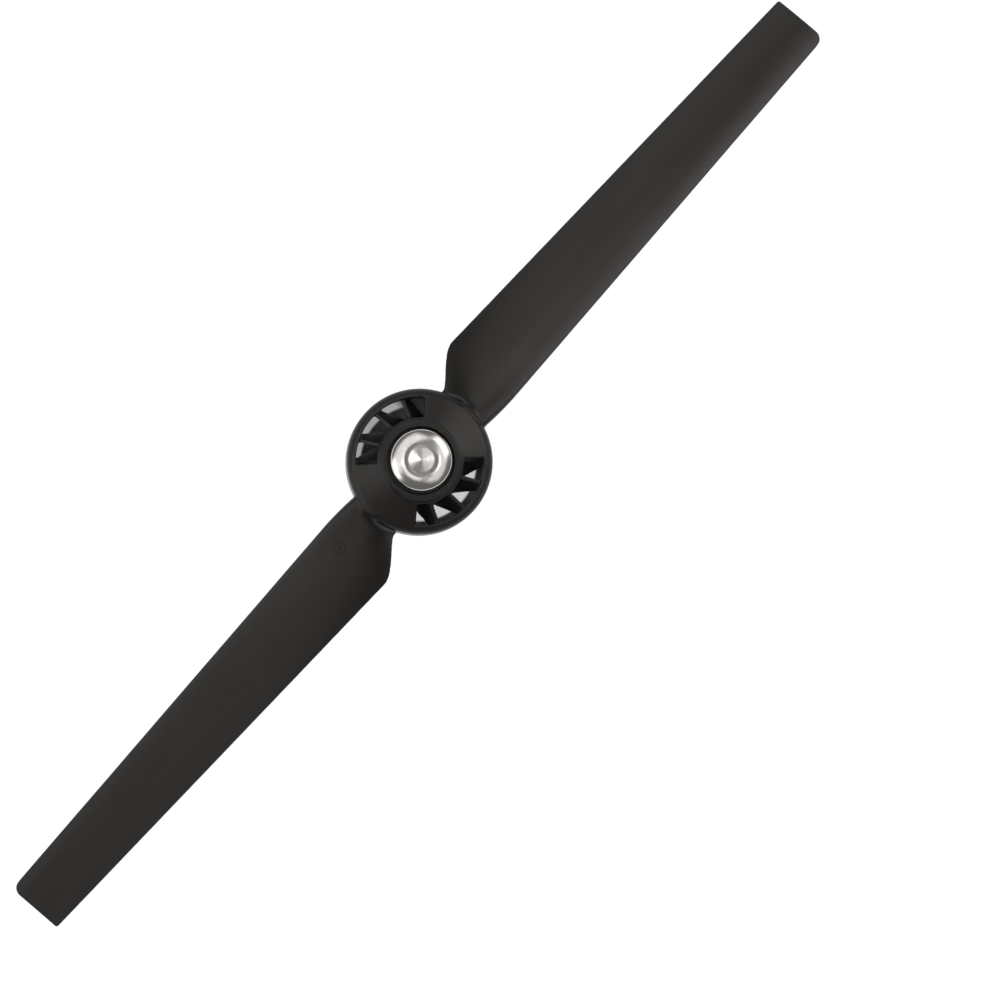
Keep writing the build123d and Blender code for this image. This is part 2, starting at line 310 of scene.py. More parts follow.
def blade_half_thickness(r, y):
    lead = leading_offset(r)
    place = np.clip((y + lead) / (lead + trailing_offset(r)), 0, 1)
    extra = ROOT_EXTRA_THICKNESS * np.exp((ROOT_R - r) / THICKNESS_FADE)
    thickest = (TIP_THICKNESS + extra) / 2
    front = np.clip(place / THICKEST_PLACE, 0, 1)
    back = np.clip((place - THICKEST_PLACE) / (1 - THICKEST_PLACE), 0, 1)
    nose = NOSE_SHARE + (1 - NOSE_SHARE) * np.sin(front * pi / 2)
    return thickest * nose - (thickest - TRAILING_EDGE_R) * back**THINNING


def blade_distance(x, y, z):
    """Blade 1 for x > 0: balls of the section's half thickness along its mean surface."""
    r = np.maximum(x, BLADE_START_R)
    half = blade_half_thickness(r, y)
    nose = blade_half_thickness(r, -LEADING_OFFSET)
    over_lead = -leading_offset(r) + nose - y
    over_trail = y - trailing_offset(r) + TRAILING_EDGE_R
    sideways = np.maximum(np.maximum(over_lead, over_trail), 0)
    y_in = np.clip(y, -leading_offset(r) + nose, trailing_offset(r) - TRAILING_EDGE_R)
    slope = PITCH_RISE / (r + PITCH_BLEND)
    upright = (z - blade_mean_z(r, y_in)) / np.sqrt(1 + slope**2)
    section = np.hypot(sideways, upright) - half
    middle = (trailing_offset(TIP_R) - leading_offset(TIP_R)) / 2
    fillet = np.where(y < middle, TIP_LEADING_FILLET, TIP_TRAILING_FILLET)
    to_lead = leading_offset(TIP_R) + y
    to_trail = trailing_offset(TIP_R) - y
    edge_gap = np.where(y < middle, to_lead, to_trail)
    inboard_gap = x - TIP_R + fillet
    corner = np.hypot(np.maximum(fillet - edge_gap, 0), np.maximum(inboard_gap, 0)) - fillet
    tip = np.where(inboard_gap < 0, x - TIP_R, corner)
    return smooth_max(section, tip, EDGE_R)


def shell_distance(r, z):
    """Skirt, rim and cone, before the vents are cut."""
    rim = [(RIM_R - inward * RIM_EDGE_R, RIM_TOP_Z + up * RIM_EDGE_R) for inward, up in RIM_ROUNDING]
    cone_start_r = RIM_R - RIM_WIDTH * RIM_EDGE_R
    cone_end_r = BOSS_R - CONE_INTO_BOSS
    skirt = [
        (SKIRT_FOOT_IN_R, 0),
        (RIM_R, 0),
        *rim,
        (cone_start_r, cone_z(cone_start_r)),
        (cone_end_r, cone_z(cone_end_r)),
        (cone_end_r, cone_z(cone_end_r) - SHELL_T),
        (SKIRT_TOP_IN_R, cone_z(SKIRT_TOP_IN_R) - SHELL_T),
    ]
    return rounded_outline(r, z, skirt, EDGE_R)


def boss_distance(r, z):
    """Tube round the nut, with the collar round its dome."""
    inner_r = NUT_BODY_R - BOSS_INTO_NUT
    tube = [
        (inner_r, BOSS_FOOT_Z),
        (BOSS_FOOT_R, BOSS_FOOT_Z),
        (BOSS_R, CONE_TOP_Z - SHELL_T),
        (BOSS_R, COLLAR_TOP_Z),
        (COLLAR_IN_R, COLLAR_TOP_Z),
        (COLLAR_IN_R, DOME_FOOT_Z),
        (inner_r, DOME_FOOT_Z),
    ]
    return rounded_outline(r, z, tube, EDGE_R)


def nut_body_distance(x, y, z):
    """The six-sided body of the nut with its rounded corners, open at the foot."""
    flats = np.full(np.shape(x), -FAR)
    for side in range(6):
        angle = pi / 6 + side * pi / 3
        flats = np.maximum(flats, x * cos(angle) + y * sin(angle) - NUT_ACROSS_FLATS / 2)
    round_body = np.maximum(flats, np.hypot(x, y) - NUT_BODY_R)
    foot = np.hypot(x, y) - NUT_BODY_R
    body = np.where(z < NUT_SEAT_Z, foot, round_body)
    return np.maximum(body, z - DOME_FOOT_Z - NUT_BODY_OVERLAP)


def vent_distance(x, y, z):
    """One vent sector and, by folding, its twin."""
    x, y = folded(x, y, VENT_CENTRE)
    r = np.hypot(x, y)
    off_centre = np.abs(np.arctan2(y, x) - radians(VENT_CENTRE)) - radians(VENT_HALF_ANGLE)
    sector = smooth_max(VENT_IN_R - r, r - SKIRT_TOP_IN_R, JOIN_R)
    sector = smooth_max(sector, r * np.sin(np.clip(off_centre, -pi / 2, pi / 2)), JOIN_R)
    return np.maximum(sector, WEB_FOOT_Z - z)


def vane_distance(x, y, z, angle):
    """Slanted web: its line turns from the radial crest to the swept foot as z falls."""
    x, y = folded(x, y, VENT_CENTRE)
    height = cone_z(VANE_MIDDLE_R) - WEB_FOOT_Z
    fall = np.clip((cone_z(np.hypot(x, y)) - z) / height, *VANE_FALL)
    in_turn = np.radians(angle - VANE_SWEEP_IN * fall)
    out_turn = np.radians(angle - VANE_SWEEP_OUT * fall)
    x_in, y_in = VENT_IN_R * np.cos(in_turn), VENT_IN_R * np.sin(in_turn)
    x_out, y_out = SKIRT_TOP_IN_R * np.cos(out_turn), SKIRT_TOP_IN_R * np.sin(out_turn)
    length = np.hypot(x_out - x_in, y_out - y_in)
    across = ((x - x_in) * (y_out - y_in) - (y - y_in) * (x_out - x_in)) / length
    forward = x * np.cos(in_turn) + y * np.sin(in_turn)
    return np.maximum(np.abs(across) * VANE_SLANT - VANE_T / 2, -forward)


def rib_distance(x, y, angle):
    """One upright rib and, by folding, its twin."""
    x, y = folded(x, y, RIB_ANGLES[1])
    along = x * cos(radians(angle)) + y * sin(radians(angle))
    across = x * sin(radians(angle)) - y * cos(radians(angle))
    return np.maximum(np.abs(across) - RIB_T / 2, -along)


def moulding_distance(x, y, z):
    """The whole one-piece moulding."""
    x_fold, y_fold = folded(x, y, 0.0)
    blades = blade_distance(x_fold, y_fold, z)
    r = np.hypot(x, y)
    near_hub = r < RIM_R + HUB_REACH
    whole = np.array(blades)
    if near_hub.any():
        hub_part = tuple(np.broadcast_to(a, whole.shape)[near_hub] for a in (x, y, z))
        whole[near_hub] = hub_distance(*hub_part, blades[near_hub])
    return whole


def hub_distance(x, y, z, blades):
    """The moulding near the hub, where blades is the distance to the blades."""
    r = np.hypot(x, y)
    shell = shell_distance(r, z)
    shell = smooth_max(shell, -vent_distance(x, y, z), JOIN_R)
    blades = np.maximum(blades, SKIRT_TOP_IN_R + BLADE_IN_SKIRT - r)
    root_cap = z - RIM_TOP_Z + ROOT_CAP_SLOPE * np.maximum(RIM_R - r, 0)
    blades = smooth_max(blades, root_cap, JOIN_R)
    middle = np.clip(1 - (y / ROOT_BLEND_HALF_WIDTH) ** 2, 0, 1)
    outer = smooth_min(shell, blades, ROOT_BLEND + (ROOT_BLEND_MIDDLE - ROOT_BLEND) * middle)
    cavity = np.maximum(r - SKIRT_TOP_IN_R - CAVITY_MARGIN, z - cone_z(r) + SHELL_T)
    outer = np.maximum(outer, -cavity)
    whole = smooth_min(outer, boss_distance(r, z), JOIN_R)
    webs = np.full(r.shape, FAR)
    for angle in VANE_ANGLES:
        webs = np.minimum(webs, vane_distance(x, y, z, VENT_CENTRE + angle))
    for angle in RIB_ANGLES:
        webs = np.minimum(webs, rib_distance(x, y, angle))
    space = np.maximum(BOSS_FOOT_R - WEB_OVERLAP - r, r - SKIRT_FOOT_IN_R - WEB_OVERLAP)
    webs = smooth_max(np.maximum(webs, space), WEB_FOOT_Z - z, EDGE_R)
    webs = smooth_max(webs, z - cone_z(r) + VANE_RECESS, EDGE_R)
    whole = smooth_min(whole, webs, JOIN_R)
    return np.maximum(whole, -nut_body_distance(x, y, z))


# ---- Meshing a distance field ----


def stretches(*spans):
    """Grid lines through spans of (end, step) from the first end on, evenly spaced in each."""
    lines = [spans[0][0]]
    for end, step in spans[1:]:
        count = max(1, round((end - lines[-1]) / step))
        lines += list(np.linspace(lines[-1], end, count + 1)[1:])
    return np.array(lines)


def mirrored(lines):
    return np.concatenate([-lines[:0:-1], lines])


def cell_edges():
    """The twelve edges of a grid cell, each as its two corners."""
    edges = []
    for axis in range(3):
        for second in (0, 1):
            for first in (0, 1):
                low, high = [first, second], [first, second]
                low.insert(axis, 0)
                high.insert(axis, 1)
                edges.append((low, high))
    return edges


def surface_net(values, lines):
    """Vertices and four-sided faces of the zero surface of a field on a rectangular grid."""
    inside = values < 0
    size = [n - 1 for n in values.shape]
    corner = [
        inside[i : i + size[0], j : j + size[1], k : k + size[2]]
        for i in (0, 1) for j in (0, 1) for k in (0, 1)
    ]
    some = np.logical_or.reduce(corner)
    cells = np.argwhere(some & ~np.logical_and.reduce(corner))
    number = np.full(size, -1, np.int64)
    number[tuple(cells.T)] = np.arange(len(cells))
    total = np.zeros((len(cells), 3))
    count = np.zeros(len(cells))
    for low, high in cell_edges():
        a, b = cells + low, cells + high
        va, vb = values[tuple(a.T)], values[tuple(b.T)]
        cut = (va < 0) != (vb < 0)
        part = np.where(cut, va / np.where(cut, va - vb, 1), 0)[:, None]
        pa = np.stack([lines[n][a[:, n]] for n in range(3)], 1)
        pb = np.stack([lines[n][b[:, n]] for n in range(3)], 1)
        total += np.where(cut[:, None], pa + (pb - pa) * part, 0)
        count += cut
    points = total / count[:, None]
    faces = []
    for axis in range(3):
        u, v = (axis + 1) % 3, (axis + 2) % 3
        first = np.take(inside, range(size[axis]), axis)
        second = np.take(inside, range(1, size[axis] + 1), axis)
        for sign, found in ((1, first & ~second), (-1, second & ~first)):
            at = np.argwhere(found)
            at = at[(at[:, u] > 0) & (at[:, v] > 0) & (at[:, u] < size[u]) & (at[:, v] < size[v])]
            quad = []
            for du, dv in ((0, 0), (1, 0), (1, 1), (0, 1)):
                cell = at.copy()
                cell[:, u] += du - 1
                cell[:, v] += dv - 1
                quad.append(number[tuple(cell.T)])
            quad = np.stack(quad, 1)
            faces.append(quad if sign > 0 else quad[:, ::-1])
    return points, np.concatenate(faces)


def gradient(field, points, step):
    """Slope of the field at each point."""
    slopes = []
    for axis in range(3):
        ahead, behind = points.copy(), points.copy()
        ahead[:, axis] += step
        behind[:, axis] -= step
        slopes.append((field(*ahead.T) - field(*behind.T)) / (2 * step))
    return np.stack(slopes, 1)


def settle(field, points, reach, rounds=4, step=0.02, least_steep=0.25):
    """Moves points along the field's slope until they lie on its zero surface, by reach at most."""
    start = points.copy()
    for _ in range(rounds):
        slope = gradient(field, points, step)
        steep = np.maximum((slope**2).sum(1), least_steep)
        points = points - slope * (field(*points.T) / steep)[:, None]
        moved = points - start
        far = np.maximum(np.sqrt((moved**2).sum(1)) / reach, 1)[:, None]
        points = start + moved / far
    return points


def convexity(field, points, reach):
    """How sharply the surface turns away at each point: positive on outward edges."""
    bend = -6 * field(*points.T)  # once for each of the six points beside it
    for axis in range(3):
        for sign in (-1, 1):
            beside = points.copy()
            beside[:, axis] += sign * reach
            bend += field(*beside.T)
    return bend / reach


def new_object(name, points, faces, material, body, replaced):
    """A smooth mesh object in metres that rides on a body and stands for CAD nodes."""
    mesh = bpy.data.meshes.new(name)
    mesh.from_pydata((np.asarray(points) * MM).tolist(), [], [tuple(f) for f in faces])
    mesh.polygons.foreach_set("use_smooth", [True] * len(mesh.polygons))
    mesh.materials.append(material)
    thing = bpy.data.objects.new(name, mesh)
    bpy.context.scene.collection.objects.link(thing)
    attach(thing, body)
    if replaced:
        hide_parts(*replaced)
    return thing


def set_point_values(mesh, name, values):
    layer = mesh.attributes.new(name, "FLOAT", "POINT")
    layer.data.foreach_set("value", values.astype(np.float32))


def leading_sheen(x, y, z):
    """Share of the painted sheen, a paler colour, that runs along the blades' leading edges."""
    r, y = folded(x, y, 0.0)
    lead = leading_offset(r)
    place = (y + lead) / (lead + trailing_offset(r))
    across = np.clip(1 - place / SHEEN_SHARE, 0, 1) ** SHEEN_FALL_OFF
    along = np.clip(SHEEN_AT_SHOULDER + (r - SHOULDER_R) / SHEEN_RISE, 0, 1)
    outward = (r - SHOULDER_R) / (TIP_R - SHOULDER_R)
    return across * along * np.where(x > 0, 1.0, SHEEN_BLADE_2 * (1 - SHEEN_FADE * outward))


def fanned(x, y):
    """Draws the grid's lines together towards the tips, so that they follow the trailing edges."""
    taper = trailing_offset(np.maximum(np.abs(x), SHOULDER_R)) / SHOULDER_OFFSET
    return np.where(x * y > 0, y * taper, y)


MOULDED_NODES = ("hub_", "nut_boss", "vane_", "rib_", "blade_")


def moulding(material):
    """The continuous nylon moulding, in place of all the CAD nodes that it is split into."""
    blade_spans = [
        (HUB_CELLS_END, HUB_CELL),
        (ROOT_CELLS_END, ROOT_CELL),
        (BLADE_CELLS_END, BLADE_CELL),
        (TIP_CELLS_END, TIP_CELL),
    ]
    x_lines = mirrored(stretches((0, 0), *blade_spans))
    y_lines = stretches((-RIM_R - GRID_MARGIN, 0), (RIM_R + GRID_MARGIN, HUB_CELL))
    z_lines = stretches((-GRID_MARGIN_Z, 0), (COLLAR_TOP_Z + GRID_MARGIN_Z, HUB_CELL_Z))
    x, y, z = np.meshgrid(x_lines, y_lines, z_lines, indexing="ij")
    values = moulding_distance(x, fanned(x, y), z)
    points, faces = surface_net(values, (x_lines, y_lines, z_lines))
    points[:, 1] = fanned(points[:, 0], points[:, 1])
    points = settle(moulding_distance, points, HUB_CELL)
    slope = gradient(moulding_distance, points, NORMAL_STEP)
    normals = slope / np.maximum(np.linalg.norm(slope, axis=1), 1e-6)[:, None]
    nodes = [name for name in frame["nodes"] if name.startswith(MOULDED_NODES)]
    thing = new_object("moulding", points, faces, material, "rotor", nodes)
    thing.data.normals_split_custom_set_from_vertices(normals.tolist())
    set_point_values(thing.data, "edge", convexity(moulding_distance, points, EDGE_REACH))
    # The "lead" values are the painted sheen along the leading edges.
    set_point_values(thing.data, "lead", leading_sheen(*points.T))
    return thing


# ---- Turned pieces ----


def lathe(rings, radius_at=None, closed=False):
    """Vertices and faces of a surface of revolution. Each ring is (r, z), and a ring of radius 0
    becomes a single point. radius_at(ring number, r, z, angle) may vary the radius. A closed
    surface joins its last ring to its first."""
    points, starts = [], []
    for number, (r, z) in enumerate(rings):
        starts.append(len(points))
        if r == 0:
            points.append((0, 0, z))
            continue
        for step in range(LATHE_STEPS):
            angle = 2 * pi * step / LATHE_STEPS
            here = radius_at(number, r, z, angle) if radius_at else r
            points.append((here * cos(angle), here * sin(angle), z))
    faces = []
    for n in range(len(rings) if closed else len(rings) - 1):
        following = (n + 1) % len(rings)
        r0, r1 = rings[n][0], rings[following][0]
        a, b = starts[n], starts[following]
        for step in range(LATHE_STEPS):
            after = (step + 1) % LATHE_STEPS
            if r0 == 0:
                faces.append((a, b + step, b + after))
            elif r1 == 0:
                faces.append((a + step, b, a + after))
            else:
                faces.append((a + step, b + step, b + after, a + after))
    return points, faces


def arc_rings(centre, radius, start, end, count):
    """Points (r, z) along an arc, angles in degrees from the r direction."""
    turn = [radians(start + (end - start) * n / count) for n in range(count + 1)]
    return [(centre[0] + radius * cos(t), centre[1] + radius * sin(t)) for t in turn]


def hole_rings():
    """The drilled end of the nut's hole, then one ring for each row of its threaded wall."""
    tip = (0, THREAD_TOP_Z + THREAD_R / tan(radians(DRILL_HALF_ANGLE)))
    length = NUT_SEAT_Z + MOUTH_DEPTH - THREAD_TOP_Z
    wall = [
        (THREAD_R, THREAD_TOP_Z + length * row / THREAD_ROWS)
        for row in range(1, THREAD_ROWS + 1)
    ]
    return [tip, (THREAD_R, THREAD_TOP_Z)], wall


def seat_rings():
    """The hole's countersunk mouth and the face that the spacer ring bears on."""
    mouth_r = THREAD_R + MOUTH_WIDTH
    edge_r, edge_z = MOUTH_EDGE
    return [(mouth_r, NUT_SEAT_Z + edge_z), (mouth_r + edge_r, NUT_SEAT_Z), (SEAT_OUT_R, NUT_SEAT_Z)]


def nut_body_rings():
    """The body, which the nut's flats are cut into."""
    return [
        (NUT_BODY_R - NUT_BODY_EDGE, NUT_SEAT_Z),
        (NUT_BODY_R, NUT_SEAT_Z + NUT_BODY_EDGE),
        (NUT_BODY_R, DOME_FOOT_Z),
    ]


def dome_rings():
    """The dome's foot, side, rounded shoulder, crown and flat top with its dimple."""
    foot = [(DOME_R - DOME_FOOT_EDGE, DOME_FOOT_Z), (DOME_R, DOME_FOOT_Z + DOME_FOOT_EDGE)]
    side = [(DOME_R, SHOULDER_START_Z)]
    shoulder_centre = (DOME_R - DOME_SHOULDER, SHOULDER_START_Z)
    shoulder = arc_rings(shoulder_centre, DOME_SHOULDER, SHOULDER_FIRST, DOME_TURN, SHOULDER_STEPS)
    turn = radians(DOME_TURN)
    centre_r = DOME_R - DOME_SHOULDER * (1 - cos(turn)) - DOME_CROWN * cos(turn)
    centre_z = SHOULDER_START_Z + (DOME_SHOULDER - DOME_CROWN) * sin(turn)
    crown_start = DOME_TURN + CROWN_FIRST
    crown = arc_rings((centre_r, centre_z), DOME_CROWN, crown_start, DOME_END, CROWN_STEPS)
    crown_r, flat_z = crown[-1]
    flat = [
        (crown_r - FLAT_EDGE, flat_z + FLAT_RISE),
        (DIMPLE_R + DIMPLE_EDGE, flat_z + FLAT_RISE),
    ]
    dimple = [
        (DIMPLE_R * (1 - n / DIMPLE_STEPS), flat_z - DIMPLE_DEPTH * n / DIMPLE_STEPS)
        for n in range(DIMPLE_STEPS)
    ]
    return foot + side + shoulder + crown + flat + dimple + [(0, flat_z - DIMPLE_DEPTH)]


def thread_radius(z, angle):
    """Radius of the left-hand thread, which runs out at both ends of the hole."""
    turns = (z - NUT_SEAT_Z) / THREAD_PITCH + angle / (2 * pi)
    flank = abs(turns % 1 - 0.5) * 2
    depth = min(max(THREAD_GROOVE - THREAD_FLANK * flank, 0), 1)
    run_in = (z - NUT_SEAT_Z) / THREAD_RUN_IN + THREAD_RUN_IN_SHARE
    run_out = (THREAD_TOP_Z - z) / THREAD_PITCH
    return THREAD_R + (THREAD_MAJOR_R - THREAD_R) * depth * min(1, run_out, run_in)


def nut(material):
    """Domed nut with its thread, seat, hidden six-sided body and dimpled dome."""
    hole, wall = hole_rings()
    seat, body = seat_rings(), nut_body_rings()
    wall_start = len(hole)
    wall_end = wall_start + len(wall)
    body_start = wall_end + len(seat)
    body_end = body_start + len(body)

    def radius_at(number, r, z, angle):
        if wall_start <= number < wall_end:
            return thread_radius(z, angle)
        if body_start <= number < body_end:
            from_flat = angle % (pi / 3) - pi / 6
            return min(r, NUT_ACROSS_FLATS / 2 / cos(from_flat) - (NUT_BODY_R - r))
        return r

    points, faces = lathe(hole + wall + seat + body + dome_rings(), radius_at)
    thing = new_object("nut", points, faces, material, "rotor", ["threaded_nut"])
    thing.data.set_sharp_from_angle(angle=radians(SHARP_ANGLE))
    return thing


def spacer(material):
    """Rubber ring of rounded section with the fine flash line that its mould leaves."""
    half_w, half_h = (RING_OUT_R - RING_IN_R) / 2, (ring_high.z - ring_low.z) / 2
    mid_r, mid_z = (RING_OUT_R + RING_IN_R) / 2, (ring_high.z + ring_low.z) / 2
    rings = []
    for step in range(RING_STEPS):
        turn = 2 * pi * step / RING_STEPS
        c, s = cos(turn), sin(turn)
        flash = FLASH_HEIGHT if abs(s) < FLASH_SINE else 0
        r = mid_r + (half_w + flash) * abs(c) ** RING_SQUARENESS * (1 if c > 0 else -1)
        z = mid_z + half_h * abs(s) ** RING_SQUARENESS * (1 if s > 0 else -1)
        rings.append((r, z))
    points, faces = lathe(rings, closed=True)
    return new_object("ring", points, faces, material, "ring", ["spacer_ring"])


def blade_top(x, y):
    """Height of blade 1's upper surface."""
    slope = PITCH_RISE / (x + PITCH_BLEND)
    return blade_mean_z(x, y) + blade_half_thickness(x, y) * np.sqrt(1 + slope**2)


def mould_mark(material):
    """Plain raised ring and dot, as moulds leave, on top of blade 2."""
    points, faces = [], []
    for radius, width in ((MARK_R, MARK_LINE), (DOT_R, DOT_LINE)):
        start = len(points)
        for step in range(MARK_STEPS):
            turn = 2 * pi * step / MARK_STEPS
            for across, up in MARK_SECTION:
                reach = radius + across * width
                x, y = MARK_X + reach * cos(turn), MARK_Y + reach * sin(turn)
                points.append((-x, -y, float(blade_top(x, y)) + up * MARK_HEIGHT))
        size = len(MARK_SECTION)
        for step in range(MARK_STEPS):
            here, after = start + step * size, start + (step + 1) % MARK_STEPS * size
            for n in range(size):
                m = (n + 1) % size
                faces.append((here + n, after + n, after + m, here + m))
    return new_object("mould_mark", points, faces, material, "rotor", [])


# ---- Materials ----


class Shader:
    """Short calls for building one material's node tree."""

    def __init__(self, name):
        self.material = bpy.data.materials.new(name)
        self.material.use_nodes = True
        self.tree = self.material.node_tree
        self.surface = self.tree.nodes["Principled BSDF"]

    def node(self, kind, **values):
        made = self.tree.nodes.new(kind)
        for key, value in values.items():
            if key in made.inputs:
                made.inputs[key].default_value = value
            else:
                setattr(made, key, value)
        return made

    def link(self, source, target):
        self.tree.links.new(source, target)

    def set(self, **values):
        for key, value in values.items():
            self.surface.inputs[key.replace("_", " ")].default_value = value

    def place(self):
        return self.node("ShaderNodeTexCoord").outputs["Object"]

    def noise(self, scale, detail=3.0, roughness=0.5, stretch=(1, 1, 1)):
        spread = self.node("ShaderNodeMapping", vector_type="POINT")
        spread.inputs["Scale"].default_value = stretch
        self.link(self.place(), spread.inputs["Vector"])
        made = self.node("ShaderNodeTexNoise", Scale=scale, Detail=detail, Roughness=roughness)
        self.link(spread.outputs["Vector"], made.inputs["Vector"])
        return made.outputs["Fac"]

    def ramp(self, value, low, high, to_low=0.0, to_high=1.0):
        made = self.node("ShaderNodeMapRange")
        names = ("From Min", "From Max", "To Min", "To Max")
        for name, number in zip(names, (low, high, to_low, to_high)):
            made.inputs[name].default_value = number
        self.link(value, made.inputs["Value"])
        return made.outputs["Result"]

    def math(self, operation, a, b):
        made = self.node("ShaderNodeMath", operation=operation)
        for slot, value in zip(made.inputs, (a, b)):
            if isinstance(value, (int, float)):
                slot.default_value = value
            else:
                self.link(value, slot)
        return made.outputs["Value"]

    def axis_distance(self, split):
        """Distance from the spin axis, from a place that is split into its three parts."""
        x, y = split.outputs["X"], split.outputs["Y"]
        squares = self.math("ADD", self.math("MULTIPLY", x, x), self.math("MULTIPLY", y, y))
        return self.math("SQRT", squares, 0.0)

    def blend(self, part, first, second):
        """Colour between two. Inputs 6 and 7 and output 2 are the Mix node's colour sockets."""
        made = self.node("ShaderNodeMix", data_type="RGBA")
        self.link(part, made.inputs["Factor"])
        for slot, value in zip((made.inputs[6], made.inputs[7]), (first, second)):
            if isinstance(value, tuple):
                slot.default_value = (*value, 1)
            else:
                self.link(value, slot)
        return made.outputs[2]

    def bump(self, height, distance, strength=1.0, onto=None):
        made = self.node("ShaderNodeBump", Distance=distance, Strength=strength)
        self.link(height, made.inputs["Height"])
        if onto is not None:
            self.link(onto, made.inputs["Normal"])
        return made.outputs["Normal"]


NYLON_DARK = (0.0078, 0.0069, 0.0056)
NYLON_PALE = (0.0102, 0.0091, 0.0076)
NYLON_FLOW = (0.0168, 0.0152, 0.0132)
NYLON_SCUFFED = (0.029, 0.028, 0.027)
# Pale colour of the painted sheen along the leading edges
NYLON_SHEEN = (0.060, 0.057, 0.056)
METAL_BRIGHT = (0.79, 0.785, 0.775)
METAL_DULL = (0.66, 0.66, 0.66)
RUBBER_BLACK = (0.012, 0.012, 0.012)
RUBBER_BLOOM = (0.026, 0.026, 0.026)
FLOOR_WHITE = (0.30, 0.311, 0.321)  # slightly blue, which evens out the warm light
FLOOR_SPECKLE = (0.31, 0.321, 0.331)


def nylon_material():
    """Black glass-filled nylon: warm near-black, cloudy, with a fine spark-eroded grain."""
    shader = Shader("nylon")
    clouds = shader.noise(38, 4, 0.55, (0.5, 1, 1))
    flow = shader.noise(210, 3, 0.6, (0.25, 1, 1))
    grain = shader.noise(2600, 2, 0.6)
    fibres = shader.noise(900, 2, 0.5, (0.2, 1, 1))
    base = shader.blend(shader.ramp(clouds, 0.35, 0.65), NYLON_DARK, NYLON_PALE)
    base = shader.blend(shader.ramp(flow, 0.45, 0.75, 0, 0.35), base, NYLON_FLOW)
    edge = shader.node("ShaderNodeAttribute", attribute_name="edge").outputs["Fac"]
    patches = shader.ramp(clouds, 0.3, 0.7, 0.35, 1)
    scuffed = shader.math("MULTIPLY", shader.ramp(edge, 0.5, 2.0), patches)
    base = shader.blend(shader.math("MULTIPLY", scuffed, 0.6), base, NYLON_SCUFFED)
    # Painted sheen: the colour lightens towards the leading edges by the "lead" values.
    lead = shader.node("ShaderNodeAttribute", attribute_name="lead").outputs["Fac"]
    base = shader.blend(lead, base, NYLON_SHEEN)
    shader.link(base, shader.surface.inputs["Base Color"])
    broad = shader.ramp(clouds, 0.3, 0.7, 0.31, 0.40)
    roughness = shader.math("ADD", broad, shader.ramp(grain, 0, 1, -0.03, 0.03))
    shader.link(roughness, shader.surface.inputs["Roughness"])
    shader.set(Specular_IOR_Level=0.44)
    surface = shader.bump(grain, 0.00004, 0.5)
    surface = shader.bump(fibres, 0.00003, 0.35, surface)
    shader.link(surface, shader.surface.inputs["Normal"])
    return shader.material


def metal_material():
    """Turned and lightly polished aluminium, brushed round the axis by the lathe."""
    shader = Shader("turned_aluminium")
    split = shader.node("ShaderNodeSeparateXYZ")
    shader.link(shader.place(), split.inputs["Vector"])
    profile_place = shader.node("ShaderNodeCombineXYZ")
    shader.link(shader.axis_distance(split), profile_place.inputs["X"])
    shader.link(split.outputs["Z"], profile_place.inputs["Z"])
    feed = shader.node("ShaderNodeTexNoise", Scale=5200.0, Detail=4.0, Roughness=0.6)
    shader.link(profile_place.outputs["Vector"], feed.inputs["Vector"])
    smudges = shader.noise(260, 4, 0.6)
    base = shader.blend(shader.ramp(smudges, 0.35, 0.7), METAL_BRIGHT, METAL_DULL)
    shader.link(base, shader.surface.inputs["Base Color"])
    shader.set(Metallic=1.0, Anisotropic=0.45)
    turned = shader.ramp(feed.outputs["Fac"], 0.3, 0.7, 0.14, 0.22)
    roughness = shader.math("ADD", turned, shader.ramp(smudges, 0.4, 0.8, 0, 0.08))
    shader.link(roughness, shader.surface.inputs["Roughness"])
    tangent = shader.node("ShaderNodeTangent", direction_type="RADIAL", axis="Z")
    shader.link(tangent.outputs["Tangent"], shader.surface.inputs["Tangent"])
    shader.link(shader.bump(feed.outputs["Fac"], 0.00003, 0.5), shader.surface.inputs["Normal"])
    return shader.material


def rubber_material():
    """Black nitrile rubber with a faint bloom."""
    shader = Shader("black_rubber")
    bloom = shader.noise(420, 4, 0.6)
    grain = shader.noise(3500, 2, 0.6)
    base = shader.blend(shader.ramp(bloom, 0.4, 0.75), RUBBER_BLACK, RUBBER_BLOOM)
    shader.link(base, shader.surface.inputs["Base Color"])
    shader.link(shader.ramp(bloom, 0.3, 0.7, 0.38, 0.55), shader.surface.inputs["Roughness"])
    shader.link(shader.bump(grain, 0.00004, 0.5), shader.surface.inputs["Normal"])
    return shader.material


# The floor's glow. Under the hub it is held back as painted shade, so that only a little painted
# light
# comes up through the vents: none under the middle of the far side, and none under the rim on the
# near side.
FLOOR_GLOW = 0.93
SHADED_GLOW = 0.6  # under the hub, over the floor's glow
FAR_SIDE_GLOW = 0.6  # for y > 0, over the near side's
GLOW_START_R, GLOW_FULL_R = 19.0 * MM, 19.8 * MM  # under the rim
SHADE_R, SHADE_SOFTNESS = 16.3 * MM, 0.3 * MM
FAR_SIDE_END, FAR_SIDE_FADE = 10.5 * MM, 2.5 * MM  # along x
NEAR_SOFTNESS, FAR_SOFTNESS = 0.1 * MM, 1.0 * MM


